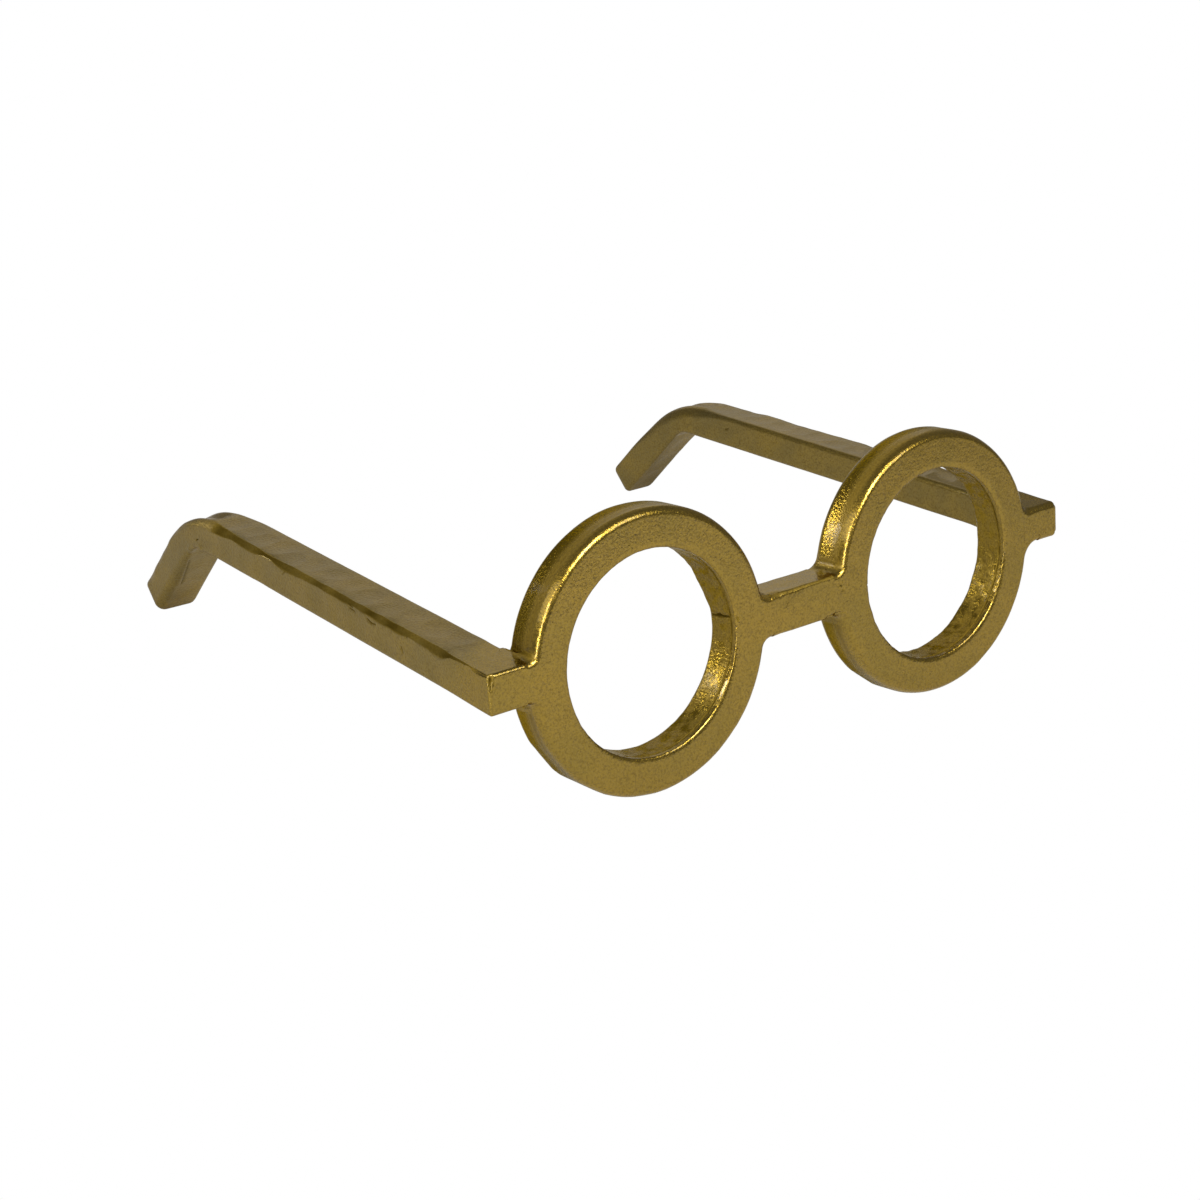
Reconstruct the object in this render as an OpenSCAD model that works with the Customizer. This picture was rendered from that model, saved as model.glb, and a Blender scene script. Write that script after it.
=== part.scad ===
// Tabletop eyeglasses sculpture, welded up from rounded-edge metal bar.
// Millimetres, +X to the viewer's right, +Y back along the temples, +Z up.
// It stands on z = 0, on the two rim bottoms and the two temple tips.
// Rims, bridge and endpieces are drawn in the rim frame: the rims' front faces
// lie on y = 0 there and their centres on z = 0. The module lean_back places it.

/* [Rims] */
// Outside diameter of each rim
rim_od = 100; // [90:1:112]
// Bore diameter of each rim
rim_bore_d = 72; // [56:1:84]
// Distance between the two rim centres
rim_spacing = 135.5; // [122:0.5:150]
// Lean of the rims from upright, tops to the back, in degrees
rim_lean = 7.5; // [2:0.5:12]

/* [Bars] */
// Front-to-back depth of the bar in the rims
bar_depth = 15; // [10:0.5:16]
// Radius along the long edges of the rims, bridge and endpieces
edge_r = 2; // [0.5:0.25:3]

/* [Bridge] */
// Height of the bridge bar
bridge_h = 15.5; // [8:0.5:24]
// Front-to-back depth of the bridge bar
bridge_depth = 15.5; // [10:0.5:17]
// How far the bridge is dressed back from the rims' front faces
bridge_set_back = 0.5; // [0.25:0.25:2]

/* [Endpieces] */
// How far each corner's outer face stands out from its rim's outer side
end_reach = 17.25; // [16:0.25:40]
// Height of the endpiece bar
end_h = 14; // [8:0.5:20]
// Height of the endpieces' middle above the rim centres
end_z = 3; // [-6:0.5:8]

/* [Temples] */
// Width of the bar in the temples and endpieces, which meet in a mitre
temple_w = 18; // [15:0.5:19]
// Thickness of the temple bar, top to bottom
temple_h = 14; // [8:0.5:16]
// How much hammering takes off each face of the temples' straight stretches
hammer_depth = 0.1; // [0.05:0.05:0.3]
// Radius along the long edges of the temples
temple_edge_r = 2.5; // [0.5:0.25:3.5]
// Length from the rims' front face to the corner of the bend
temple_run = 211.5; // [150:0.5:260]
// Length from the corner of the bend to the left tip
left_drop = 62.5; // [45:0.5:90]
// Length from the corner of the bend to the right tip, which was cut shorter
right_drop = 61; // [45:0.5:90]
// Angle that the temple is bent down through
bend_angle = 45; // [30:1:60]
// Radius of the bend on its outer side
bend_outer_r = 52; // [30:1:60]
// Radius of the bend on its inner side
bend_inner_r = 11; // [6:1:24]
// Radius at the two cross edges of the square-cut tip
tip_r = 4; // [1:0.5:5]
// Angle that each temple leans in towards the other
toe_in = 0.6; // [0:0.1:2]

/* [Welds] */
// Width of weld metal that closes each rolled rim
seam_w = 2; // [1:0.25:4]
// Thickness of weld metal in each mitred corner
mitre_w = 1.2; // [0.6:0.1:2.5]
// Fillet radius between the bridge and the rims
bridge_fillet_r = 4; // [1:0.5:6]
// Fillet radius between the endpieces and the rims
end_fillet_r = 3; // [1:0.5:6]
// Fillet radius under the right endpiece, where more weld was laid
wide_fillet_r = 7; // [1:0.5:8]
// How far weld metal stands out from the bars, and its thickness where it runs out
weld_proud = 0.2; // [0.1:0.05:0.5]
// How far the weld faces lie behind the front and back faces of the bar
weld_set_back = 0.3; // [0.1:0.05:0.5]
// Radius dressed on the upright edge of the left corner
left_corner_r = 1.25; // [0.5:0.25:3]
// Radius dressed on the upright edge of the right corner
right_corner_r = 3; // [0.5:0.25:4]

/* [Hidden] */
$fn = 96;

LEFT = -1;
RIGHT = 1;
smooth_gold = [0.55, 0.45, 0.20];
hammered_gold = [0.50, 0.42, 0.20];
weld_gold = [0.60, 0.50, 0.24];

// Rim sizes
rim_r = rim_od / 2;
bore_r = rim_bore_d / 2;
rim_face_w = rim_r - bore_r;
rim_x = rim_spacing / 2;
seam_angle = seam_w / (bore_r + rim_face_w / 2) * 180 / PI;

// Each fillet runs from the flat side of a bar, side_z from the rim centre, to the rim's
// round side, and fillet_x is where it leaves the bar
function fillet_x(side_z, r) =
    sqrt(pow(rim_r + weld_proud + r, 2) - pow(side_z + weld_proud + r, 2));
bridge_end_x = fillet_x(bridge_h / 2, bridge_fillet_r);
end_top = end_z + end_h / 2;
end_low = end_h / 2 - end_z;
end_start_x = max(fillet_x(end_top, end_fillet_r), fillet_x(end_low, end_fillet_r));
corner_x = rim_x + rim_r + end_reach;

// The mitre runs from the outer front edge to the inner back edge of each corner
mitre_angle = 135;
mitre_reach = 4 * temple_w;
mitre_h = 4 * end_h;

// Height of the rim centres, with the lowest round edge on the table
rim_centre_z = (rim_r - edge_r) * cos(rim_lean) + (bar_depth - edge_r) * sin(rim_lean) + edge_r;

// Half sizes of the temple bar: full in the bend, and slimmer where it is hammered
full_half_w = temple_w / 2;
full_half_h = temple_h / 2;
hammered_half_w = full_half_w - hammer_depth;
hammered_half_h = full_half_h - hammer_depth;

function drop_length(side) = side == RIGHT ? right_drop : left_drop;

// Centre of a round cross edge of a tip, in the temple's own frame: face is -1 for the
// inner one, which the tip rests on, and 1 for the outer one
function tip_centre(side, face) =
    [temple_run, 0]
    + (drop_length(side) - tip_r) * [cos(bend_angle), -sin(bend_angle)]
    + face * (hammered_half_h - tip_r) * [sin(bend_angle), cos(bend_angle)];

// A temple starts at the endpiece's middle and slopes down until its tip rests on the table
temple_start_y = end_z * sin(rim_lean);
temple_start_z = rim_centre_z + end_z * cos(rim_lean);
function slope_to(rest_point) =
    atan2(rest_point.y, rest_point.x) + asin((temple_start_z - tip_r) / norm(rest_point));
function temple_slope(side) = slope_to(tip_centre(side, -1));

// How far back a temple reaches from the rims' front faces
function rear_reach(side, far_point) =
    temple_start_y + tip_r
    + (far_point.x * cos(temple_slope(side)) + far_point.y * sin(temple_slope(side))) * cos(toe_in)
    + (hammered_half_w - temple_edge_r) * sin(toe_in);

// The middle of the footprint, front to back, is moved to y = 0
front_y = edge_r * cos(rim_lean) - (rim_r - edge_r) * sin(rim_lean) - edge_r;
rear_y = max([for (side = [LEFT, RIGHT]) rear_reach(side, tip_centre(side, 1))]);
shift_y = -(front_y + rear_y) / 2;

// Rectangle with round corners, from its low corner to its high corner
module rounded_rect(low, high, r) {
    translate(low + [r, 0]) square(high - low - [2 * r, 0]);
    translate(low + [0, r]) square(high - low - [0, 2 * r]);
    for (x = [low.x + r, high.x - r], y = [low.y + r, high.y - r]) {
        translate([x, y]) circle(r);
    }
}

// Everything drawn in the rim frame goes through this
module lean_back() {
    translate([0, shift_y, rim_centre_z]) rotate([-rim_lean, 0, 0]) children();
}

// A drawing of the right side is mirrored for the left side
module on_side(side) {
    if (side == LEFT) mirror([1, 0, 0]) children();
    else children();
}

// A flat drawing in the front view, x and z, given thickness from y = y0 to y1
module front_extrude(y0, y1) {
    translate([0, y1, 0]) rotate([90, 0, 0]) linear_extrude(y1 - y0) children();
}

// A bar's section, y and z, drawn out along x from x0 to x1
module along_x(x0, x1) {
    translate([x0, 0, 0]) rotate([90, 0, 90]) linear_extrude(x1 - x0) children();
}

// Bar bent round the y axis, starting at an angle from +x in the front view
module ring(start, sweep) {
    rotate([-90, 0, 0]) rotate([0, 0, -start - sweep]) rotate_extrude(angle = sweep)
        rounded_rect([bore_r, 0], [rim_r, bar_depth], edge_r);
}

// The ring is open at its inner side, where seam_w of weld metal closes it
module rim(side) {
    color(smooth_gold) lean_back() on_side(side) translate([rim_x, 0, 0])
        ring(180 + seam_angle / 2, 360 - seam_angle);
}

module rim_seam_weld(side) {
    color(weld_gold) lean_back() on_side(side) translate([rim_x, 0, 0])
        ring(180 - seam_angle / 2, seam_angle);
}

// One fillet in the front view, above a bar: the bar's top is at side_z
module fillet_outline(side_z, r) {
    x = fillet_x(side_z, r);
    z = side_z + weld_proud + r;
    difference() {
        polygon([[0, 0], [x, side_z - edge_r], [x, z]]);
        translate([x, z]) circle(r);
    }
}

// Front view of the weld between a rim and a bar on its +x side: top and low are the bar's
// sides, measured up and down from the rim centre, and bar_x is where the bar starts
module weld_outline(bar_x, top, low, top_r, low_r) {
    difference() {
        union() {
            translate([0, -low - weld_proud]) square([bar_x, top + low + 2 * weld_proud]);
            fillet_outline(top, top_r);
            mirror([0, 1]) fillet_outline(low, low_r);
        }
        circle(rim_r - edge_r);
    }
}

module bridge_bar() {
    along_x(bridge_end_x - rim_x, rim_x - bridge_end_x)
        rounded_rect([bridge_set_back, -bridge_h / 2], [bridge_set_back + bridge_depth, bridge_h / 2],
            edge_r);
}

module bridge() {
    color(smooth_gold) lean_back() bridge_bar();
}

// Plan of a weld, x and y from the rim centre: its back slopes from bead_x, on the rim's
// round back edge, out to back_y on the deeper bar, which starts at bar_x
module weld_plan(bar_x, front_y, back_y) {
    bead_x = rim_r - edge_r / 2;
    rim_y = bar_depth - weld_set_back;
    far_x = bar_x + temple_w;
    polygon([
        [0, front_y], [far_x, front_y], [far_x, back_y], [bar_x, back_y], [bead_x, rim_y], [0, rim_y]
    ]);
}

// A weld has the front view of its first child and the plan of its second, and leaves the
// round rim free
module weld_solid(depth) {
    difference() {
        intersection() {
            front_extrude(0, depth) children(0);
            translate([0, 0, -rim_r]) linear_extrude(2 * rim_r) children(1);
        }
        ring(0, 360);
    }
}

module bridge_weld(side) {
    back_y = bridge_set_back + bridge_depth - weld_set_back;
    color(weld_gold) lean_back() on_side(side) translate([rim_x, 0, 0]) mirror([1, 0, 0])
        weld_solid(bridge_set_back + bridge_depth) {
            weld_outline(bridge_end_x, bridge_h / 2, bridge_h / 2, bridge_fillet_r, bridge_fillet_r);
            weld_plan(bridge_end_x, bridge_set_back, back_y);
        }
}

// Endpiece bar from the rim weld to the outer corner, before its mitre is cut
module endpiece_bar() {
    along_x(rim_x + end_start_x, corner_x) rounded_rect([0, -end_low], [temple_w, end_top], edge_r);
}

module endpiece_weld(side) {
    low_r = side == RIGHT ? wide_fillet_r : end_fillet_r;
    color(weld_gold) lean_back() on_side(side) difference() {
        intersection() {
            translate([rim_x, 0, 0]) weld_solid(temple_w) {
                weld_outline(end_start_x, end_top, end_low, end_fillet_r, low_r);
                weld_plan(end_start_x, weld_set_back, temple_w - weld_set_back);
            }
            mitre_block(mitre_w / 2, mitre_reach);
        }
        endpiece_bar();
    }
}

// Upright block on the mitre line, from y0 to y1 across it; the endpiece lies at y > 0
module mitre_block(y0, y1) {
    translate([corner_x, 0, end_z]) rotate([0, 0, mitre_angle])
        translate([-mitre_reach / 2, y0, -mitre_h / 2]) cube([mitre_reach * 1.5, y1 - y0, mitre_h]);
}

// What dressing takes off the upright outer edge of a corner
module corner_waste(r) {
    translate([corner_x - r, r, end_z]) difference() {
        translate([0, -2 * r, -mitre_h / 2]) cube([2 * r, 2 * r, mitre_h]);
        cylinder(h = 2 * mitre_h, r = r, center = true);
    }
}

function corner_r(side) = side == RIGHT ? right_corner_r : left_corner_r;

module endpiece(side) {
    color(smooth_gold) lean_back() on_side(side) difference() {
        intersection() {
            endpiece_bar();
            mitre_block(mitre_w / 2, mitre_reach);
        }
        corner_waste(corner_r(side));
    }
}

module corner_weld(side) {
    color(weld_gold) lean_back() on_side(side) difference() {
        intersection() {
            endpiece_bar();
            mitre_block(-mitre_w / 2, mitre_w / 2);
        }
        corner_waste(corner_r(side));
    }
}

// The temple's own frame: y runs along its middle line from the corner, z is up.
// temple_blank has its upper, outer side, and temple_waste cuts its lower, inner side.
// The straight stretches run a little way into the bend, which has the fuller section.
bend_tan = tan(bend_angle / 2);
outer_centre = [temple_run + bend_tan * (full_half_h - bend_outer_r), full_half_h - bend_outer_r];
inner_centre = [temple_run - bend_tan * (full_half_h + bend_inner_r), -full_half_h - bend_inner_r];
outer_start = bend_tan * (bend_outer_r - full_half_h);
inner_start = bend_tan * (bend_inner_r + full_half_h);
run_in = 0.5;
// Spare length in front of the corner, which the mitre cuts off
temple_lead = 4;
// The waste's round edges are a little wider than the bar, so that they cut its sides cleanly
edge_relief = 2 * hammer_depth;

// Section, x and z, drawn out along y from y0 to y1
module along_y(y0, y1) {
    translate([0, y1, 0]) rotate([90, 0, 0]) linear_extrude(y1 - y0) children();
}

// Section swept through the bend; its 2-D x is the radius from the bend's centre
module through_bend(centre) {
    translate([0, centre.x, centre.y]) rotate([0, 90, 0]) rotate([0, 0, 180 - bend_angle])
        rotate_extrude(angle = bend_angle) children();
}

// The drop's frame starts at the corner of the bend, with y down along the drop
module at_drop() {
    translate([0, temple_run, 0]) rotate([-bend_angle, 0, 0]) children();
}

module temple_blank(drop) {
    blank_h = 2 * temple_h;
    module section() {
        rounded_rect([-hammered_half_w, hammered_half_h - blank_h], [hammered_half_w, hammered_half_h],
            temple_edge_r);
    }
    along_y(-temple_lead, outer_centre.x + run_in) section();
    through_bend(outer_centre)
        rounded_rect([bend_outer_r - blank_h, -full_half_w], [bend_outer_r, full_half_w],
            temple_edge_r);
    at_drop() along_y(outer_start - run_in, drop) section();
}

module temple_waste(drop) {
    waste_h = 3 * temple_h;
    module section() {
        half_w = hammered_half_w + edge_relief;
        difference() {
            translate([-temple_w, -waste_h])
                square([2 * temple_w, waste_h + temple_edge_r - hammered_half_h]);
            rounded_rect([-half_w, -hammered_half_h], [half_w, full_half_h], temple_edge_r);
        }
    }
    along_y(-2 * temple_lead, inner_centre.x + run_in) section();
    through_bend(inner_centre) difference() {
        half_w = full_half_w + edge_relief;
        translate([0, -1.5 * temple_w]) square([bend_inner_r + temple_edge_r, 3 * temple_w]);
        rounded_rect([bend_inner_r, -half_w], [bend_inner_r + temple_h, half_w], temple_edge_r);
    }
    at_drop() along_y(inner_start - run_in, 2 * drop) section();
}

// What the two round cross edges of the tip take off its square end
module tip_waste(drop) {
    at_drop() for (face = [-1, 1]) {
        translate([0, drop - tip_r, face * (hammered_half_h - tip_r)]) rotate([0, 90, 0])
            difference() {
                translate([face > 0 ? -2 * tip_r : 0, 0, -temple_w])
                    cube([2 * tip_r, 2 * tip_r, 2 * temple_w]);
                cylinder(h = 3 * temple_w, r = tip_r, center = true);
            }
    }
}

module temple(side) {
    color(hammered_gold) on_side(side) difference() {
        translate([corner_x - full_half_w, shift_y + temple_start_y, temple_start_z])
            rotate([0, 0, toe_in]) rotate([-temple_slope(side), 0, 0]) difference() {
                temple_blank(drop_length(side));
                temple_waste(drop_length(side));
                tip_waste(drop_length(side));
            }
        lean_back() mitre_block(-mitre_w / 2, mitre_reach);
        lean_back() corner_waste(corner_r(side));
    }
}

rim(LEFT);  // left_rim
rim(RIGHT);  // right_rim
bridge();
endpiece(LEFT);  // left_endpiece
endpiece(RIGHT);  // right_endpiece
temple(LEFT);  // left_temple
temple(RIGHT);  // right_temple
rim_seam_weld(LEFT);  // left_rim_seam_weld
rim_seam_weld(RIGHT);  // right_rim_seam_weld
bridge_weld(LEFT);  // bridge_left_weld
bridge_weld(RIGHT);  // bridge_right_weld
endpiece_weld(LEFT);  // left_endpiece_weld
endpiece_weld(RIGHT);  // right_endpiece_weld
corner_weld(LEFT);  // left_corner_weld
corner_weld(RIGHT);  // right_corner_weld
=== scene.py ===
# Round eyeglasses for a table top: two rims, a bridge and two bent temples in antique gold.
# The surfaces are worked out in millimetres, in the same frame as the solids they stand for.
import math

import bpy
import numpy as np
from mathutils import Matrix, Vector


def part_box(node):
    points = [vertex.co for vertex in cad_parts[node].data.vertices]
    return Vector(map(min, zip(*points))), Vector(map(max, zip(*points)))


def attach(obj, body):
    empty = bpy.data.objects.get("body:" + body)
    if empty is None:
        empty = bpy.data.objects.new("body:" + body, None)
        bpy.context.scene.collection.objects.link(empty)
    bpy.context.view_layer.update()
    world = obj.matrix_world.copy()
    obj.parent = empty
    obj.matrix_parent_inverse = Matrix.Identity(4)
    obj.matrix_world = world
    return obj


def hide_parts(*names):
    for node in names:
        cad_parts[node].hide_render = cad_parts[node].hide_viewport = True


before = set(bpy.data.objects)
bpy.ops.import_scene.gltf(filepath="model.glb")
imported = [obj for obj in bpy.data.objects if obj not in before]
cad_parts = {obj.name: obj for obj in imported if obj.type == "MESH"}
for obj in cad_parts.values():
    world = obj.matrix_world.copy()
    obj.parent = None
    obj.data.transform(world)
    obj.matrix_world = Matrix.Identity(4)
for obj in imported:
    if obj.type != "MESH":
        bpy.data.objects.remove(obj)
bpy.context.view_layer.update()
print("frame loaded with", len(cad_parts), "nodes")

mm = 0.001  # scene units in one millimetre
left, right = -1, 1

rims = {
    "outer": 50.0,  # outside radius
    "bore": 36.0,
    "depth": 15.0,
    "spacing": 135.5,  # between the rims' middles
    "lean": math.radians(7.5),
    "cornerRadius": 2.0,  # of the solid, which sets how high the rims stand
    "boreFront": (2.4, 0.9),  # rounding of the bore's front edge over the face and the wall
    "boreBack": 2.0,  # and of its back edge
    "seam": math.radians(2.665),  # angle left open for the seam weld
}

rimX = rims["spacing"] / 2  # how far a rim's middle lies from the object's
cosLean, sinLean = math.cos(rims["lean"]), math.sin(rims["lean"])
straightR = rims["outer"] - rims["cornerRadius"]
centreZ = (
    straightR * cosLean + (rims["depth"] - rims["cornerRadius"]) * sinLean + rims["cornerRadius"]
)
# The rims' foremost point lies on the low front edge, which puts the rim frame in its place
rimLow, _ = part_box("left_rim")
shiftY = rimLow[1] / mm - rims["cornerRadius"] * (cosLean - 1) + straightR * sinLean


# Maths that every piece uses


def unit(x):
    # held between 0 and 1
    return np.clip(x, 0, 1)


def ease(t):
    # rises from 0 to 1 with flat ends: three t squared less two t cubed
    t = unit(t)
    return t * t * (3 - 2 * t)


def leanBack(points):
    # the rim frame (x, depth, height) turned back about x and set on the table
    x, y, z = points[..., 0], points[..., 1], points[..., 2]
    return np.stack(
        [x, shiftY + y * cosLean + z * sinLean, centreZ - y * sinLean + z * cosLean], -1
    )


def awayFrom(angle, direction):
    # the angle to a direction given in degrees, taken the short way round
    return np.angle(np.exp(1j * (angle - math.radians(direction))))


def bell(angle, direction, width):
    # falls off to both sides of a direction
    return np.exp(-((awayFrom(angle, direction) / math.radians(width)) ** 2))


def chordRadius(angle, direction, radius, deep):
    # A flat cut into a circle: its distance from the middle is the chord's own distance over the
    # cosine of the angle away from it.
    return (radius - deep) / np.maximum(np.cos(awayFrom(angle, direction)), 0.5)


def distanceAlong(line):
    # the running length of a line of points
    return np.concatenate([[0], np.cumsum(np.linalg.norm(np.diff(line, axis=0), axis=1))])


def waves(seed, count, longest, shortest):
    # a smooth random field of space: a sum of sine waves in random directions
    rng = np.random.default_rng(seed)
    length = np.exp(rng.uniform(math.log(shortest), math.log(longest), count))
    way = rng.normal(size=(count, 3))
    way = way / np.linalg.norm(way, axis=1, keepdims=True) * (2 * math.pi / length)[:, None]
    phase = rng.uniform(0, 2 * math.pi, count)
    size = length / longest

    def field(points):
        total = np.sin(points @ way.T + phase) @ size
        return total / np.sqrt((size**2).sum() / 2)

    return field


def gridNormals(rings):
    # cross product of the steps along and around a closed tube of rings
    along = np.gradient(rings, axis=0)
    around = np.roll(rings, -1, axis=1) - np.roll(rings, 1, axis=1)
    normal = np.cross(along, around)
    size = np.linalg.norm(normal, axis=-1, keepdims=True)
    normal = normal / np.maximum(size, 1e-12)
    centre = rings.mean(axis=1, keepdims=True)
    outward = np.sign(((rings - centre) * normal).sum(-1).mean())
    return normal * outward


def markDepth(points, marks):
    # each mark is a line from one point to another: its depth fades as a bell with the distance
    depth, stainAndShade = np.zeros((2, *points.shape[:-1]))
    for start, end, width, deep, dark in marks:
        start, end = np.array(start, float), np.array(end, float)
        run = end - start
        share = unit(((points - start) @ run) / max(run @ run, 1e-9))
        away = np.linalg.norm(points - start - share[..., None] * run, axis=-1) / width
        fall = np.exp(-(away**2) * 2)
        depth = depth + deep * fall
        stainAndShade = np.maximum(stainAndShade, dark * fall)
    return depth, stainAndShade


def buildPiece(name, rings, fields, slot, nodes):
    # a tube of rings, closed round each ring, with a fan to the middle at both ends
    ringCount, around = rings.shape[:2]
    points = np.concatenate([rings.reshape(-1, 3), rings[[0, -1]].mean(axis=1)]) * mm
    i, k = np.meshgrid(np.arange(ringCount - 1), np.arange(around), indexing="ij")
    after = (k + 1) % around
    quads = np.stack(
        [i * around + k, i * around + after, (i + 1) * around + after, (i + 1) * around + k], -1
    ).reshape(-1, 4)
    k = np.arange(around)
    after = (k + 1) % around
    lastRing = (ringCount - 1) * around
    startHub = np.full(around, ringCount * around)
    startFan = np.stack([after, k, startHub], -1)
    endFan = np.stack([lastRing + k, lastRing + after, startHub + 1], -1)
    fans = np.concatenate([startFan, endFan])
    a, b, c, d = (points[quads[:, j]] for j in range(4))
    volume = (a * np.cross(b, c)).sum() + (a * np.cross(c, d)).sum()
    a, b, c = (points[fans[:, j]] for j in range(3))
    volume += (a * np.cross(b, c)).sum()
    # a tube that comes out inside out is turned
    if volume < 0:
        quads, fans = quads[:, ::-1], fans[:, ::-1]
    mesh = bpy.data.meshes.new(name)
    mesh.from_pydata(points.tolist(), [], quads.tolist() + fans.tolist())
    mesh.polygons.foreach_set("use_smooth", np.ones(len(mesh.polygons), bool))
    mesh.set_sharp_from_angle(angle=math.radians(65))
    for title, values in fields.items():
        ends = values[[0, -1]].mean(axis=1)
        layer = mesh.attributes.new(title, "FLOAT", "POINT")
        layer.data.foreach_set("value", np.concatenate([values.ravel(), ends]).astype(np.float32))
    mesh.materials.append(gold[slot])
    piece = bpy.data.objects.new(name, mesh)
    bpy.context.scene.collection.objects.link(piece)
    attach(piece, "root")
    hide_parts(*nodes)


def boxRings(top, topIn, low, lowIn, near, far, edges):
    # A bar's rings. top and low are the bar's outlines seen from its near side, with their inward
    # normals; near and far are the depths of its two faces. Each long edge is a quarter ellipse
    # that reaches (over the near or far face, over the top or low side).
    count = {"face": 26, "side": 30, "edge": 13}
    t = np.linspace(0, 1, count["face"] + 2)[1:-1]
    s = np.linspace(0, 1, count["side"] + 2)[1:-1]
    turn = np.linspace(0, math.pi / 2, count["edge"])
    sine, cosine = np.sin(turn), np.cos(turn)

    def edge(outline, inward, depth, sign, run):
        # from the face round to the side; sign is 1 at the near face and -1 at the far one
        overFace, overSide = run
        inset = overFace[:, None] * (1 - sine)
        sunk = overSide[:, None] * (1 - cosine)
        flat = outline[:, None] + inward[:, None] * inset[..., None]
        return flat, depth[:, None] + sign * sunk

    nearLow = edge(low, lowIn, near, 1, edges["nearLow"])
    farLow = edge(low, lowIn, far, -1, edges["farLow"])
    farTop = edge(top, topIn, far, -1, edges["farTop"])
    nearTop = edge(top, topIn, near, 1, edges["nearTop"])

    def between(start, end, share):
        flat = start[0][:, None] + (end[0] - start[0])[:, None] * share[:, None]
        return flat, start[1][:, None] + (end[1] - start[1])[:, None] * share

    def at(part, index):
        return part[0][:, index], part[1][:, index]

    backwards = slice(None, None, -1)
    parts = [
        between(at(nearTop, 0), at(nearLow, 0), t),
        nearLow,
        between(at(nearLow, -1), at(farLow, -1), s),
        at(farLow, backwards),
        between(at(farLow, 0), at(farTop, 0), t),
        farTop,
        between(at(farTop, -1), at(nearTop, -1), s),
        at(nearTop, backwards),
    ]
    return [np.concatenate([part[j] for part in parts], 1) for j in range(2)]


# Rims


# Each rounding is (how far it reaches over the face, and over the wall)
rimLooks = {
    left: {
        "front": (3.0, 3.4),
        "back": (2.2, 3.2),
        "flats": [(-146, 0.5), (-126, 0.45), (-52, 0.3), (-99, 0.2)],  # angle, depth of each
        "boreFlats": [(21, 1.1)],
        "boreDips": [(-6, 12, 0.4), (36, 15, -0.7)],  # angle, width, change of radius
        "rolled": 0.035,  # how wavy the bore is
    },
    right: {
        "front": (3.0, 4.6),
        "back": (2.2, 4.2),
        "flats": [(-128, 0.4), (-60, 0.25), (72, 0.2)],
        "boreFlats": [],
        "boreDips": [(-48, 9, -0.35), (-74, 8, -0.3), (-14, 7, 0.25), (-27, 6, -0.2)],
        "rolled": 0.06,
    },
}
# how many points each stretch of the section has, and how many sections a rim and a seam have
rimSteps = {"edge": 17, "bore": 20, "grooved": 26, "face": 16, "wall": 24, "back": 12}
rimSections, seamSections = 500, 34
rolledWaves = waves(71, 60, 7, 1.4)
# the fine line inside the front of each bore, with painted shade in it; up to its end the wall
# has finer steps
groove = {"depth": 3.0, "width": 0.42, "deep": 0.3, "end": 4.2, "dark": 0.55}
# painted shade: streaks in the bore, and a band on the outer wall behind its front edge
wallShade = {
    "shadeStreaks": 0.3,  # in the bore
    "shade": 0.5,  # outside, behind the front edge
    "shadeDepth": 4.8,
    "shadeWidth": 2.3,
}


def outerCut(angle, side):
    # dressing flats: the radius less the chord's distance, where that is above zero
    cut = np.zeros_like(angle)
    for direction, deep in rimLooks[side]["flats"]:
        cut = np.maximum(cut, rims["outer"] - chordRadius(angle, direction, rims["outer"], deep))
    return cut


def rimSection(side):
    # the bar's section, radius and depth, walked from the bore round the front face to the back
    near, wall = rimLooks[side]["front"]
    backFace, backWall = rimLooks[side]["back"]
    inNear, inWall = rims["boreFront"]
    back = rims["boreBack"]
    bore, outer, deep = rims["bore"], rims["outer"], rims["depth"]
    turn = np.linspace(0, math.pi / 2, rimSteps["edge"])
    sine, cosine = np.sin(turn), np.cos(turn)
    onFace, onWall, onBack = rimSteps["face"], rimSteps["wall"], rimSteps["back"]

    def line(start, end, count):
        return np.linspace(start, end, count + 2)[1:-1]

    plainWall = line(deep - back, groove["end"], rimSteps["bore"])
    groovedWall = np.linspace(groove["end"], inWall + 0.1, rimSteps["grooved"])
    boreWall = np.concatenate([plainWall, groovedWall])
    parts = [
        (np.full_like(boreWall, bore), boreWall),
        (bore + inNear * (1 - cosine), inWall * (1 - sine)),
        (line(bore + inNear, outer - near, onFace), np.zeros(onFace)),
        (outer - near * (1 - sine), wall * (1 - cosine)),
        (np.full(onWall, outer), line(wall, deep - backWall, onWall)),
        (outer - backFace * (1 - cosine), deep - backWall * (1 - sine)),
        (line(outer - backFace, bore + back, onBack), np.full(onBack, deep)),
        (bore + back * (1 - sine), deep - back * (1 - cosine)),
    ]
    return [np.concatenate([part[j] for part in parts]) for j in range(2)]


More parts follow.
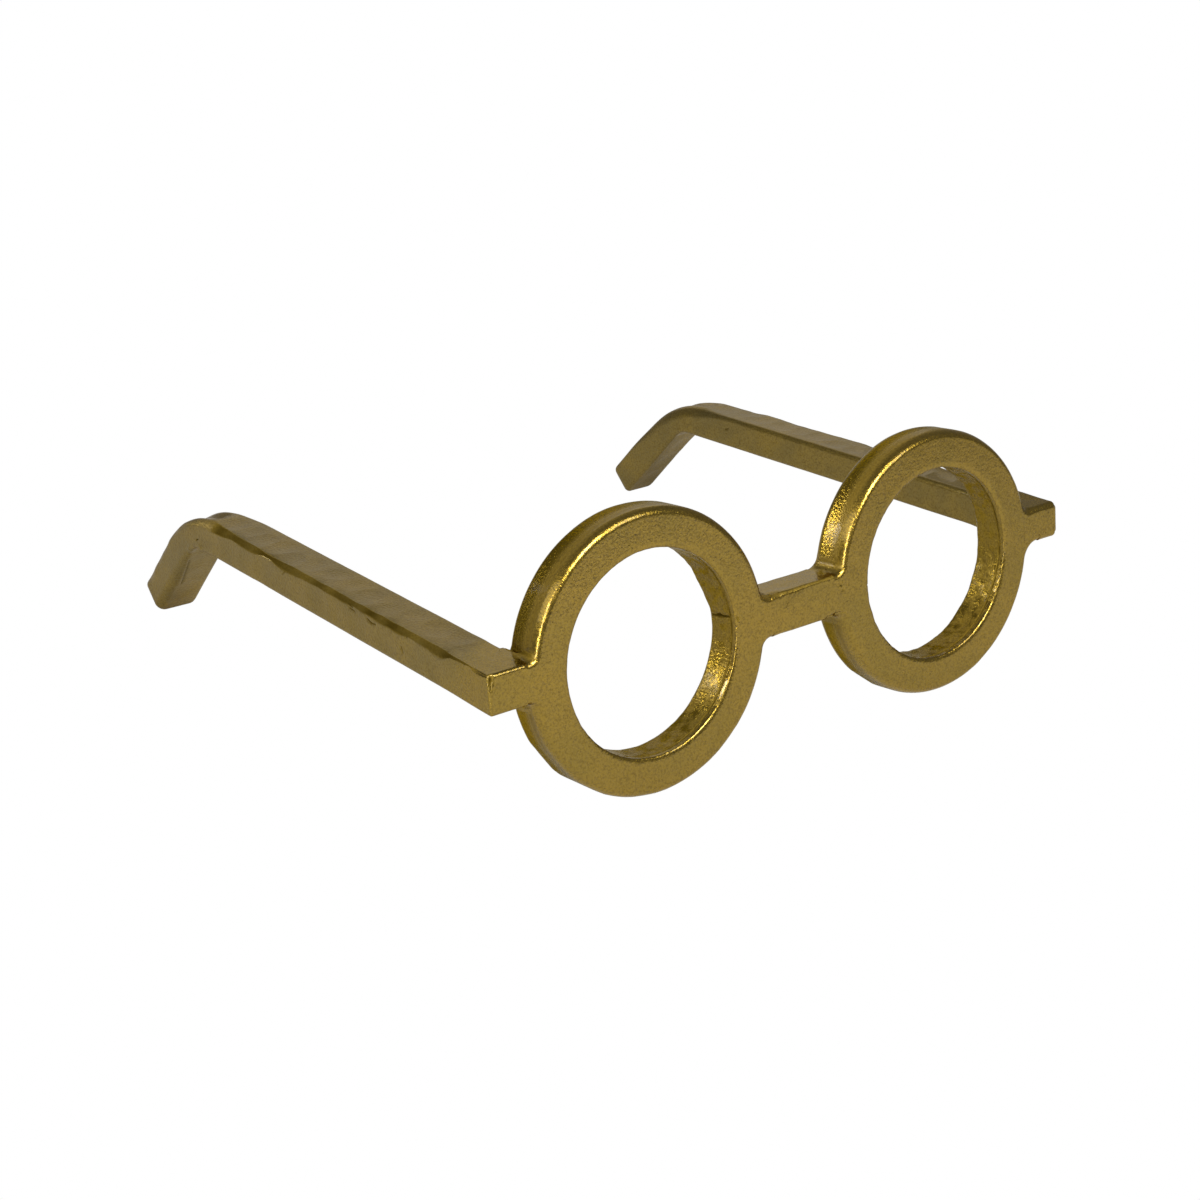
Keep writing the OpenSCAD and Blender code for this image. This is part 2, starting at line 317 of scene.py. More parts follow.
def rimRings(side, angles):
    # the section turned about the rim's middle, with flats outside and rolled unevenness inside
    radius, depth = rimSection(side)
    looks = rimLooks[side]
    angle, radius = np.meshgrid(angles, radius, indexing="ij")
    depth = np.broadcast_to(depth, angle.shape)
    middle = (rims["bore"] + rims["outer"]) / 2
    outerShare = unit((radius - middle) / (rims["outer"] - middle))
    boreShare = unit((middle - radius) / (middle - rims["bore"]))
    backShare = 0.35 + 0.65 * depth / rims["depth"]
    boreChange = np.zeros_like(angle)
    for direction, deep in looks["boreFlats"]:
        chord = chordRadius(angle, direction, rims["bore"], deep)
        boreChange = boreChange + np.minimum(chord - rims["bore"], 0)
    for direction, width, change in looks["boreDips"]:
        boreChange = boreChange + change * bell(angle, direction, width)
    line = np.exp(-(((depth - groove["depth"]) / groove["width"]) ** 2)) * (boreShare > 0.95)
    radius = radius - outerShare * outerCut(angle, side) * backShare
    boreBack = (depth / rims["depth"]) ** 1.3
    radius = radius + boreShare * boreChange * boreBack + groove["deep"] * line
    flat = np.stack([radius * np.cos(angle), depth, radius * np.sin(angle)], -1)
    flat[..., 0] += side * rimX
    rolled = looks["rolled"] * boreShare * rolledWaves(flat)
    flat = flat + np.stack([np.cos(angle), depth * 0, np.sin(angle)], -1) * rolled[..., None]
    # only the walls are grainy, the outer one towards its back, and the bore gets painted shade in
    # streaks
    inBore = unit(boreShare * 20 - 19) * ease((depth - 1.2) / 1.5)
    grain = inBore + unit(outerShare * 20 - 19) * ease((depth - 4) / 4)
    shadeStreaks = wallShade["shadeStreaks"] * unit(0.6 + 0.6 * rolledWaves(flat)) * inBore
    # and painted shade darkens the outer wall behind its front edge
    behind = (depth - wallShade["shadeDepth"]) / wallShade["shadeWidth"]
    shade = wallShade["shade"] * np.exp(-(behind**2)) * unit(outerShare * 8 - 7)
    # all of this darkening is painted shade: in the groove, in streaks in the bore and on the outer
    # wall
    stainAndShade = groove["dark"] * line + shade + shadeStreaks
    return flat, {"grain": grain, "stainAndShade": stainAndShade, "hammered": line * 0}


# The dressed surface is nowhere quite even. Its waves belong to space and not to a piece, so
# that neighbouring pieces meet at the same level.
skirtDeep = 0.06  # a piece's edge that runs on under its neighbour lies this far below it
finish = {"press": 0.05, "swell": waves(11, 24, 34, 7), "ripple": waves(61, 30, 5, 1.6)}


def finishSurface(rings, fields, marks):
    # low waves press the surface in a little everywhere, and the marks press it in where they lie
    normal = gridNormals(rings)
    depth, stainAndShade = markDepth(rings, marks)
    uneven = 1 + 0.5 * finish["swell"](rings) + 0.15 * finish["ripple"](rings)
    press = finish["press"] * np.clip(uneven, 0, None) + depth
    fields["stainAndShade"] = unit(fields["stainAndShade"] + stainAndShade)
    return rings - normal * press[..., None], fields


def makeRim(side, name):
    # the seam faces the bridge, so the ring starts and ends there
    facing = math.pi if side == right else 0.0
    half = rims["seam"] / 2
    angles = facing + np.linspace(half, 2 * math.pi - half, rimSections)
    rings, fields = rimRings(side, angles)
    rings, fields = finishSurface(rings, fields, rimMarks[side] + bridgeMarks)
    buildPiece(name, leanBack(rings), fields, "smooth_gold", [name])


# Marks are (from, to, width, depth, darkness), in the rim frame: x, depth, height. The darkness is
# a stain on some marks and painted shade on others
rimMarks = {
    left: [
        ((-31.6, 13.2, 2.2), (-31.6, 8.0, 2.7), 0.95, 0.5, 1.0),
        ((-31.7, 10.3, 2.6), (-31.7, 8.6, 3.2), 0.75, 0.45, 1.0),
        ((-31.7, 8.0, 2.7), (-31.8, 3.8, 3.2), 0.65, 0.4, 1.0),
        ((-31.7, 6.2, 2.8), (-31.7, 5.4, 3.1), 0.6, 0.4, 1.0),
        ((-31.8, 3.8, 3.2), (-31.6, 0.6, 3.5), 0.25, 0.15, 0.7),
        ((-31.3, 0.5, 4.0), (-30.6, 0.1, 3.3), 0.42, 0.4, 1.0),
        ((-31.0, 0.2, 3.0), (-30.7, 0.1, 2.4), 0.3, 0.25, 0.9),
    ],
    right: [
        ((103.4, 8.0, -4.0), (103.4, 6.6, -5.6), 1.7, 0.4, 0.1),
        ((102.9, 11.0, -8.0), (103.0, 10.0, -9.0), 1.5, 0.3, 0.3),
        ((101.0, 9.5, -13.2), (100.6, 8.0, -14.8), 2.2, 0.35, 0.0),
        ((96.2, 5.5, -21.0), (95.6, 4.6, -22.8), 1.6, 0.25, 0.2),
        ((88.4, 9.0, -29.0), (87.4, 7.0, -30.2), 2.0, 0.3, 0.3),
        ((80.1, 7.0, -33.6), (78.6, 6.0, -34.2), 1.8, 0.25, 0.3),
    ],
}


def makeSeamWeld(side, name):
    # the missing slice of the ring, sunk along its middle line, with torn pits in the bore
    facing = math.pi if side == right else 0.0
    reach = rims["seam"] / 2 + math.radians(0.35)
    angles = facing + np.linspace(-reach, reach, seamSections)
    rings, fields = rimRings(side, angles)
    away = np.abs(angles - facing) / (rims["seam"] / 2)
    centre = np.array([side * rimX, 0, 0])
    inBore = np.linalg.norm((rings - centre) * np.array([1, 0, 1]), axis=-1) < rims["bore"] + 0.3
    x = side * (rimX - rims["bore"])
    marks = [
        ((x, 0.6, 0.4), (x - side * 0.5, 0.1, 0.1), 0.38, 0.35, 1.0),
        ((x, 9.8, -0.3), (x, 9.2, 0.2), 0.3, 0.2, 0.5),
    ]
    rings, fields = finishSurface(rings, fields, marks)
    # its ends run on a little under the rim's surface, and in the bore it is dressed hollow
    sink = skirtDeep * unit((away - 1) / 0.25)[:, None]
    hollow = 0.06 * np.exp(-((away / 0.6) ** 2))[:, None] * inBore
    rings = rings - gridNormals(rings) * (sink + hollow)[..., None]
    buildPiece(name, leanBack(rings), fields, "weld_gold", [name])


# Bridge and endpieces: bars that run out along x from welds on the rims

bridgeBar = {
    "top": 7.75,  # above and below the rims' middles
    "low": 7.75,
    "back": 16.0,  # how deep the bar is, from the rims' front faces
    "topFillet": 4.0,
    "lowFillet": 4.0,
    "rings": 90,
    "sag": 0.08,
}
endBar = {
    "top": 10.0,
    "low": 4.0,
    "back": 18.0,
    "topFillet": 3.0,
    "backFillet": 0.8,  # what the top fillet is dressed down to at the back
    "rings": 80,
}
endBars = {left: {**endBar, "lowFillet": 3.0}, right: {**endBar, "lowFillet": 7.0}}
endReach = rims["outer"] + 17.25  # from a rim's middle to the corner's outer face
cornerX = rimX + endReach
weldProud = 0.2  # how far a weld stands out of the bars beside its fillets


def filletCentre(side, fillet):
    # the fillet's circle touches the rim from outside and the bar's side from above
    reach = rims["outer"] + weldProud + fillet
    rise = side + weldProud + fillet
    return math.sqrt(reach * reach - rise * rise), rise


def barStart(bar):
    # a bar starts where the wider of its weld's two fillets ends
    return max(
        filletCentre(bar["top"], bar["topFillet"])[0],
        filletCentre(bar["low"], bar["lowFillet"])[0],
    )


weldSteps = (34, 40, 26)  # points on the rim, in the fillet and on the bar
weldUnder = math.radians(9)  # how far a weld's skirt runs on over the rim


def weldOutline(side, fillet, endX):
    # up the rim's circle, round the fillet and along the bar's side: points and inward normals
    cx, cz = filletCentre(side, fillet)
    touch = math.atan2(cz, cx)
    onRim, inFillet, onBar = weldSteps
    angle = touch + weldUnder * np.linspace(1, 0, onRim)
    rimIn = -np.stack([np.cos(angle), np.sin(angle)], -1)
    rimPart = -rims["outer"] * rimIn
    turn = np.linspace(touch + math.pi, 1.5 * math.pi, inFillet + 1)[1:]
    filletIn = np.stack([np.cos(turn), np.sin(turn)], -1)
    share = np.linspace(0, 1, inFillet + 1)[1:, None]
    radius = fillet + weldProud * ease(1 - share) + weldProud * share
    filletPart = np.array([cx, cz]) + radius * filletIn
    barX = np.linspace(cx, endX, onBar + 1)[1:]
    barPart = np.stack([barX, np.full(onBar, side)], -1)
    barIn = np.broadcast_to([0.0, -1.0], barPart.shape)
    points = np.concatenate([rimPart, filletPart, barPart])
    return points, np.concatenate([rimIn, filletIn, barIn])


def blendEdges(onRim, onBar, share):
    # an edge's two reaches change from the rim's to the bar's along the fillet
    return [onRim[j] + (onBar[j] - onRim[j]) * share for j in range(2)]


def weldRings(bar, edges, rimSide, sign, lift):
    # the weld seen from the front, from the rim's middle outwards; sign turns it to the other side
    endX = barStart(bar) + 0.02
    top, topIn = weldOutline(bar["top"], bar["topFillet"], endX)
    low, lowIn = weldOutline(bar["low"], bar["lowFillet"], endX)
    flip = np.array([1, -1])
    low, lowIn = low * flip, lowIn * flip
    onRim, inFillet, onBar = weldSteps
    steps = np.arange(len(top))
    skirt = ease(steps / (onRim - 1))
    along = ease((steps - onRim) / (inFillet + onBar - 2))
    # the skirt comes out from just under the rim's surface, and the rest lies just over it
    grow = -0.04 * (1 - skirt) + 0.004 * skirt * (1 - along)
    backShare = ease((steps - 0.6 * onRim) / (inFillet * 1.2))
    back = rims["depth"] + (bar["back"] - rims["depth"]) * backShare + grow
    frontRim, backRim = rimLooks[rimSide]["front"], rimLooks[rimSide]["back"]
    rings = {
        "nearTop": blendEdges(frontRim, edges["nearTop"], along),
        "nearLow": blendEdges(frontRim, edges["nearLow"], along),
        "farTop": blendEdges(backRim, edges["farTop"], along),
        "farLow": blendEdges(backRim, edges["farLow"], along),
    }
    top = top - topIn * grow[:, None]
    low = low - lowIn * grow[:, None]
    flat, depth = boxRings(top, topIn, low, lowIn, -grow, back, rings)
    if "backFillet" in bar:
        # the top fillet is dressed down to a sharper one towards the back
        sharp, sharpIn = weldOutline(bar["top"], bar["backFillet"], endX)
        sharp = sharp - sharpIn * grow[:, None]
        dressed, _ = boxRings(sharp, sharpIn, low, lowIn, -grow, back, rings)
        flat = flat + (dressed - flat) * ease((depth - 3) / 8)[..., None]
        # and it ends at the mitre, which runs inwards with the depth
        mitre = endReach - 0.1 - depth
        flat[..., 0] = np.minimum(flat[..., 0], mitre) + 0.0001 * steps[:, None]
    lifted = lift * ease((steps - onRim + 8) / (inFillet * 0.7))
    height = flat[..., 1] + depth * lifted[:, None]
    return np.stack([sign * flat[..., 0], depth, height], -1)


def plainFields(rings):
    # no grain, stain, painted shade or hammering anywhere
    none = np.zeros(rings.shape[:2])
    return {"grain": none, "stainAndShade": none, "hammered": none}


def makeWeld(name, bar, edges, rimSide, sign, lift, marks):
    rings = weldRings(bar, edges, rimSide, sign, lift)
    rings[..., 0] += rimSide * rimX
    rings, fields = finishSurface(rings, plainFields(rings), marks)
    buildPiece(name, leanBack(rings), fields, "weld_gold", [name])


def barRings(bar, x, edges, lift):
    # a straight bar's section at each x; lift is how steeply it rises towards its back
    full = np.ones(len(x))
    top = np.stack([x, bar["top"] * full], -1)
    low = np.stack([x, -bar["low"] * full], -1)
    down = np.broadcast_to([0.0, -1.0], top.shape)
    flat, depth = boxRings(top, down, low, -down, 0 * full, bar["back"] * full, edges)
    return np.stack([flat[..., 0], depth, flat[..., 1] + depth * lift], -1)


# The bridge's top front edge is soft by the left rim and grows crisp towards the right one
bridgeEdges = {
    left: {"nearTop": (2.1, 1.7), "nearLow": (1.6, 1.6), "farTop": (2, 2), "farLow": (2, 2)},
    right: {"nearTop": (1.2, 0.9), "nearLow": (1.2, 1.2), "farTop": (2, 2), "farLow": (2, 2)},
}


def makeBridge():
    endX = rimX - barStart(bridgeBar)
    x = np.linspace(-endX, endX, bridgeBar["rings"])
    share = ease((x + endX) / (2 * endX))
    edges = {}
    for key, start in bridgeEdges[left].items():
        edges[key] = blendEdges(start, bridgeEdges[right][key], share)
    rings = barRings(bridgeBar, x, edges, 0)
    # the bar sags a little between its ends
    endFade = ease((endX - np.abs(rings[..., 0])) / 4)
    sag = np.clip(endFade * bridgeBar["sag"] * (1 + waves(31, 20, 22, 6)(rings)), 0, None)
    rings = rings - gridNormals(rings) * sag[..., None]
    rings, fields = finishSurface(rings, plainFields(rings), bridgeMarks)
    buildPiece("bridge", leanBack(rings), fields, "smooth_gold", ["bridge"])


# Along the bridge and its welds: a soft dip by the left rim with painted shade in it, a dark
# patch in front of the right rim's fillet, painted shade along that fillet and along the bridge's
# top front edge, a bead on its front edge, spatter below it, and a crease under the bridge with
# painted shade in it
bridgeMarks = [
    # the soft dip, with painted shade in it
    ((-17.5, 1.0, 8.6), (-11.5, 1.0, 7.6), 2.2, 0.5, 0.3),
    ((14.2, 6.0, 7.9), (15.6, 8.0, 8.2), 1.7, 0.2, 0.8),
    # painted shade along the right rim's fillet, and along the bridge's top front edge
    ((18.0, 2.0, 10.8), (18.0, 15.0, 10.8), 2.2, 0.0, 0.8),
    ((-12.5, 0.3, 7.3), (15.0, 0.3, 7.5), 0.8, 0.0, 0.5),
    ((16.0, 0.3, 8.5), (17.0, 0.4, 9.9), 0.8, -0.3, 0.0),
    ((15.9, 0.1, 4.7), (16.6, 0.1, 4.0), 0.7, 0.12, 0.3),
    ((17.8, 0.1, 3.0), (18.4, 0.1, 2.5), 0.45, -0.3, 0.0),
    ((18.4, 0.1, 1.9), (18.8, 0.1, 1.6), 0.4, 0.3, 0.8),
    # the crease under the bridge, with painted shade in it
    ((11.5, 0.2, -7.2), (17.0, 0.1, -7.0), 1.3, 0.7, 0.15),
    ((17.0, 0.0, -6.9), (19.6, 0.0, -7.0), 0.35, 0.2, 0.7),
    ((17.5, 0.0, -8.3), (17.9, 0.0, -8.4), 0.4, 0.25, 0.6),
]

endEdges = {
    left: {"nearTop": (1.3, 1.1), "nearLow": (1.2, 1.2), "farTop": (1.6, 1.6), "farLow": (2, 2)},
    right: {"nearTop": (2.4, 2.0), "nearLow": (2.2, 2.0), "farTop": (2, 2), "farLow": (2, 2)},
}
corners = {
    "weldHalf": 0.6 * math.sqrt(2),  # half of the mitre weld, measured along a bar
    "rings": 17,
    # radius is the upright edge's and soft the outline's; lift is how steeply the bar rises
    # towards its back
    left: {"radius": 1.25, "soft": 0.8, "lift": math.tan(math.radians(5.4))},
    right: {"radius": 3.0, "soft": 3.0, "lift": math.tan(math.radians(3.5))},
}


def endRings(side, x):
    # the endpiece's section at each x, with x measured to the right of a right rim's middle
    full = np.ones(len(x))
    edges = {key: [run[0] * full, run[1] * full] for key, run in endEdges[side].items()}
    # it is dressed level with the temple, which leans back less than the rims
    return barRings(endBars[side], x, edges, corners[side]["lift"])


def mitreRing(side, past):
    # the endpiece's section carried on to the mitre plane: x is the corner's less the depth.
    # Short of the plane it is moved along the endpiece, and past it along the temple.
    ring = endRings(side, np.array([0.0, 1.0]))[0]
    ring[:, 0] = endReach - ring[:, 1] + min(past, 0)
    ring[:, 1] += max(past, 0)
    return ring


def roundCorner(rings, side):
    # the corner's upright edge: a square plan round the circle's centre is drawn in to a circle
    radius = corners[side]["radius"]
    centreX = endReach - radius
    over = np.clip(rings[..., 0] - centreX, 0, None)
    ahead = np.clip(radius - rings[..., 1], 0, None)
    inside = (over > 0) & (ahead > 0)
    scale = np.maximum(over, ahead) / np.maximum(np.hypot(over, ahead), 1e-9)
    out = rings.copy()
    out[..., 0] = np.where(inside, centreX + over * scale, rings[..., 0])
    out[..., 1] = np.where(inside, radius - ahead * scale, rings[..., 1])
    # and in the same way the corner's outline seen from the front, at its top and its bottom
    soft = corners[side]["soft"]
    bar = endBars[side]
    centreX = endReach - soft
    over = np.clip(out[..., 0] - centreX, 0, None)
    above = np.clip(out[..., 2] - (bar["top"] - soft), 0, None)
    below = np.clip(-(bar["low"] - soft) - out[..., 2], 0, None)
    beyond = np.maximum(above, below)
    inside = (over > 0) & (beyond > 0)
    scale = np.where(inside, np.maximum(over, beyond) / np.maximum(np.hypot(over, beyond), 1e-9), 1)
    out[..., 0] = np.where(inside, centreX + over * scale, out[..., 0])
    out[..., 2] = out[..., 2] + (scale - 1) * np.where(above > 0, above, -below)
    return out


def toSide(rings, side):
    # from the right rim's middle out to its place, mirrored for the left
    placed = rings.copy()
    placed[..., 0] = side * (placed[..., 0] + rimX)
    return placed


def makeEndpiece(side, name):
    startX = barStart(endBars[side])
    start = endRings(side, np.array([startX, 100.0]))[0]
    end = mitreRing(side, -corners["weldHalf"])
    start[:, 0] = np.minimum(start[:, 0], end[:, 0] - 0.3)
    share = np.linspace(0, 1, endBars[side]["rings"]) ** 0.85
    rings = roundCorner(start + (end - start) * share[:, None, None], side)
    # at its inner corner it runs on a little under the weld's surface
    under = skirtDeep * unit(startX - rings[..., 0])
    rings = toSide(rings, side)
    rings, fields = finishSurface(rings, plainFields(rings), cornerMarks[side])
    rings = rings - gridNormals(rings) * under[..., None]
    buildPiece(name, leanBack(rings), fields, "smooth_gold", [name])


# On the left the weld left a nick below the corner's top, and below it a faint line. Painted
# shade runs along the fillet between the endpiece's top and the rim
cornerMarks = {
    left: [
        ((-133.6, 0.1, 9.0), (-133.7, 0.1, 8.0), 1.4, 0.8, 1.0),
        ((-133.7, 0.1, 8.0), (-134.0, 0.1, 5.2), 0.6, 0.5, 1.0),
        ((-134.0, 0.1, 5.2), (-134.2, 0.1, 0.0), 0.28, 0.06, 0.4),
        # painted shade along the fillet where the endpiece's top meets the rim
        ((-117.5, 7.0, 11.0), (-116.5, 14.0, 11.8), 2.2, 0.05, 0.5),
        ((-116.2, 2.5, 11.3), (-116.2, 14.0, 12.4), 1.9, 0.0, 0.8),
    ],
    right: [],
}


def cornerRings(side):
    half = corners["weldHalf"]
    places = np.linspace(-half, half, corners["rings"])
    rings = np.stack([mitreRing(side, past) for past in places])
    rings = toSide(roundCorner(rings, side), side)
    return finishSurface(rings, plainFields(rings), cornerMarks[side])


def makeCornerWeld(side, name):
    rings, fields = cornerRings(side)
    buildPiece(name, leanBack(rings), fields, "weld_gold", [name])


# Temples

temples = {
    "halfWidth": 8.9,
    "halfHeight": 6.9,
    "run": 211.5,  # from the corner to the corner of the bend
    "bend": math.radians(45),
    "outerBend": 52.0,
    "innerBend": 14.0,
    "tipRadius": 4.0,  # of the tip's upper and lower edges
    "sideTip": 5.5,  # and of its two side edges
    "toeIn": math.radians(0.6),
    "startZ": 3.0,  # the middle of the bar above the rim centres
    "pull": 34.0,  # how far along it is drawn to meet the corner weld
    "bendMiddle": 205.0,  # along the bar
    left: {"drop": 62.5, "seed": 41},
    right: {"drop": 61.0, "seed": 42},
}
# in a temple's own frame, along and up: down its drop, and out of the drop's upper face
dropWay = np.array([math.cos(temples["bend"]), -math.sin(temples["bend"])])
dropOut = np.array([math.sin(temples["bend"]), math.cos(temples["bend"])])


def templeSlope(side):
    # the angle at which a temple runs down so that the round edge of its tip rests on the table
    tip = temples["tipRadius"]
    rest = np.array([temples["run"], 0.0]) + (temples[side]["drop"] - tip) * dropWay
    rest = rest - (temples["halfHeight"] - tip) * dropOut
    height = centreZ + temples["startZ"] * cosLean - tip
    return math.atan2(rest[1], rest[0]) + math.asin(height / math.hypot(*rest))


templeSteps = (380, 60, 90)  # points on the straight, in the bend and on the drop
tipSteps = 14
capSteps = 8


def bentLine(height, radius, side):
    # a straight stretch, an arc round a centre below the bar, and the drop up to where the tip's
    # rounding starts, all at a height above the bar's middle line
    bend = temples["bend"]
    corner = np.array([temples["run"], 0.0])
    setBack = math.tan(bend / 2) * (radius - height)
    centre = corner + np.array([-setBack, height - radius])
    t0, t1, t2 = (np.linspace(0, 1, n) for n in templeSteps)
    first = np.stack([t0 * centre[0], np.full(len(t0), height)], -1)
    turn = (t1 * bend)[1:]
    arc = centre + radius * np.stack([np.sin(turn), np.cos(turn)], -1)
    drop = temples[side]["drop"] - temples["tipRadius"]
    dropEnd = corner + drop * dropWay + height * dropOut
    last = arc[-1] + (dropEnd - arc[-1]) * t2[1:, None]
    normal = np.concatenate([
        np.tile([0.0, 1.0], (len(t0), 1)),
        np.stack([np.sin(turn), np.cos(turn)], -1),
        np.tile(dropOut, (len(t2) - 1, 1)),
    ])
    return np.concatenate([first, arc, last]), normal


def templeRings(side):
    # rings between the upper and the lower bent line, then the rounded tip, then its flat end
    height, tip = temples["halfHeight"], temples["tipRadius"]
    top, topOut = bentLine(height, temples["outerBend"], side)
    low, _ = bentLine(-height, temples["innerBend"], side)
    turn = np.linspace(0, math.pi / 2, tipSteps + 1)[1:, None]
    ahead = tip * np.sin(turn) * dropWay
    drawnIn = tip * (1 - np.cos(turn)) * topOut[-1]
    top = np.concatenate([top, top[-1] + ahead - drawnIn])
    low = np.concatenate([low, low[-1] + ahead + drawnIn])
    out = np.concatenate([topOut, np.tile(topOut[-1], (tipSteps, 1))])
    along = distanceAlong(top)
    toEnd = tip + along[-tipSteps - 1] - along
    toEnd[-tipSteps:] = tip * (1 - np.sin(turn[:, 0]))
    sideTip = temples["sideTip"]
    narrow = sideTip - np.sqrt(sideTip**2 - np.clip(sideTip - toEnd, 0, None) ** 2)
    half = temples["halfWidth"] - narrow
    # soft is how round the upper inner edge is, and worn the lower outer one; the roundings
    # below shrink with the bar's height at the tip
    reach = np.minimum(1, np.linalg.norm(top - low, axis=1) / 7)
    atCorner, hammeredMore, bentMore = templeEdges["upperInner"]
    bent, short = ease((along - 175) / 30), 1 - ease((along - 225) / 30)
    soft = atCorner + hammeredMore * ease((along - 10) / 30) + bentMore * bent * short
    plain, dropMore = templeEdges["lowerOuter"]
    worn = (plain + dropMore * ease((along - 226) / 26)) * reach
    inner = templeEdges["lowerInner"] * reach
    edges = {
        "nearTop": upperEdge(along, side),
        "nearLow": [worn, worn],
        "farTop": [soft, 0.8 * soft],
        "farLow": [inner, inner],
    }
    flat, across = boxRings(top, -out, low, out, -half, half, edges)
    rings = np.stack([-across, flat[..., 0], flat[..., 1]], -1)
    middle = rings[-1].mean(axis=0)
    shrink = np.linspace(1, 0.04, capSteps + 1)[1:, None, None]
    return np.concatenate([rings, middle + (rings[-1] - middle) * shrink])


def upperEdge(along, side):
    # The upper outer edge is wavy where it was hammered, and worn rounder in the bend
    bent = np.exp(-(((along - temples["bendMiddle"]) / 24) ** 2))
    line = np.stack([along, along * 0, along * 0], -1)
    wave = waves(temples[side]["seed"] + 5, 14, 24, 11)(line)
    down = 2.3 + 0.9 * wave
    return [np.clip(down, 1.2, 4.2) * (1 - bent) + 4.6 * bent, 1.9 + 2.9 * bent]


templeEdges = {
    "upperInner": (1.8, 0.4, 4.3),  # at the corner, more past it, and more again in the bend
    "lowerOuter": (1.7, 2.0),  # and more on the drop
    "lowerInner": 2.2,
}

# Each set of blows is (pitch, depth, roundness along and across, scatter)
hammer = {
    "faces": (13.0, 0.27, (105, 80), 3.0),
    "walls": (15.0, 0.2, (130, 60), 2.0),
    "edge": 0.22,  # how far the upper outer edge is beaten in
    "foot": 22.0,  # the hammering grows over this length from the corner
    "from": -10.0,  # the first and the last blow along the bar
    "to": 290.0,
}
paintedEdgeShade = {"dark": 0.8, "wavy": 0.1, "faded": 0.8}  # painted shade along that edge


def dents(points, seed, blows):
    # Blows along a face: each takes off its depth less the squared distance over twice its
    # roundness, and where two overlap the deeper one counts, which leaves a ridge between them.
    pitch, deep, radii, scatter = blows
    rng = np.random.default_rng(seed)
    total = np.zeros(points.shape[:-1])
    position = hammer["from"]
    while position < hammer["to"]:
        position += pitch * rng.uniform(0.75, 1.25)
        across = rng.normal(0, scatter)
        skew = rng.normal(0, 0.25)
        depth = deep * rng.uniform(0.5, 1.15)
        away = points[..., 0] - position - skew * points[..., 1]
        over = points[..., 1] - across
        blow = depth - away**2 / (2 * radii[0]) - over**2 / (2 * radii[1])
        total = np.maximum(total, blow)
    return total


def templeFinish(rings, side):
    # dents on all four sides, a wavy upper edge, cracks and painted shade; the dents fade out at
    # the corner
    seed = temples[side]["seed"]
    normal = gridNormals(rings)
    length = np.broadcast_to(distanceAlong(rings.mean(1))[:, None], rings.shape[:2])
    u, w = rings[..., 0], rings[..., 2]
    topness = unit(normal[..., 2] * 1.2) ** 2
    upness = unit(np.hypot(normal[..., 1], normal[..., 2])) ** 2
    sideness = unit(np.abs(normal[..., 0])) ** 2
    start = ease((length - 12) / hammer["foot"])
    end = ease((length.max() - 6 - length) / 6)
    face, wall = np.stack([length, u], -1), np.stack([length, w], -1)
    topDents = dents(face, seed, hammer["faces"])
    lowDents = dents(face, seed + 3, hammer["faces"])
    upper = normal[..., 2] + normal[..., 1] > 0
    inner = ease((-3 - u) / 5)
    faceDents = np.where(upper, topDents, lowDents) * upness * (1 - 0.75 * inner)
    outDents = dents(wall, seed + 1, hammer["walls"])
    inDents = dents(wall, seed + 2, hammer["walls"])
    wallDents = np.where(normal[..., 0] > 0, outDents, inDents) * sideness
    wavy = waves(seed + 7, 18, 30, 9)(np.stack([length, u * 0, u * 0], -1))
    edge = np.exp(-(((u - temples["halfWidth"]) ** 2 + (w - temples["halfHeight"]) ** 2) / 7))
    edgePress = hammer["edge"] * edge * np.clip(1 + wavy, 0, None) * topness**0.3
    swell = waves(seed + 9, 24, 30, 8)(rings)
    depth, stainAndShade = markDepth(rings, templeMarks[side])
    press = start * end * (faceDents + wallDents + edgePress) + end * 0.03 * (1 + 0.5 * swell)
    # painted shade darkens the upper outer edge, where the surface faces out and up
    slant = unit(normal[..., 0]) * np.hypot(normal[..., 1], normal[..., 2]) * upper
    edgeShade = unit(4 * slant) * (paintedEdgeShade["dark"] + paintedEdgeShade["wavy"] * wavy)
    edgeShade = edgeShade * ease((length - 3) / 8) * (1 - paintedEdgeShade["faded"] * ease((length - 190) / 18))
    stainAndShade = unit(np.maximum(stainAndShade, edgeShade))
    blend = ease((length - 6) / 26)
    fields = {"grain": 0.35 * blend, "stainAndShade": stainAndShade, "hammered": blend}
    return rings - normal * (press + depth)[..., None], fields


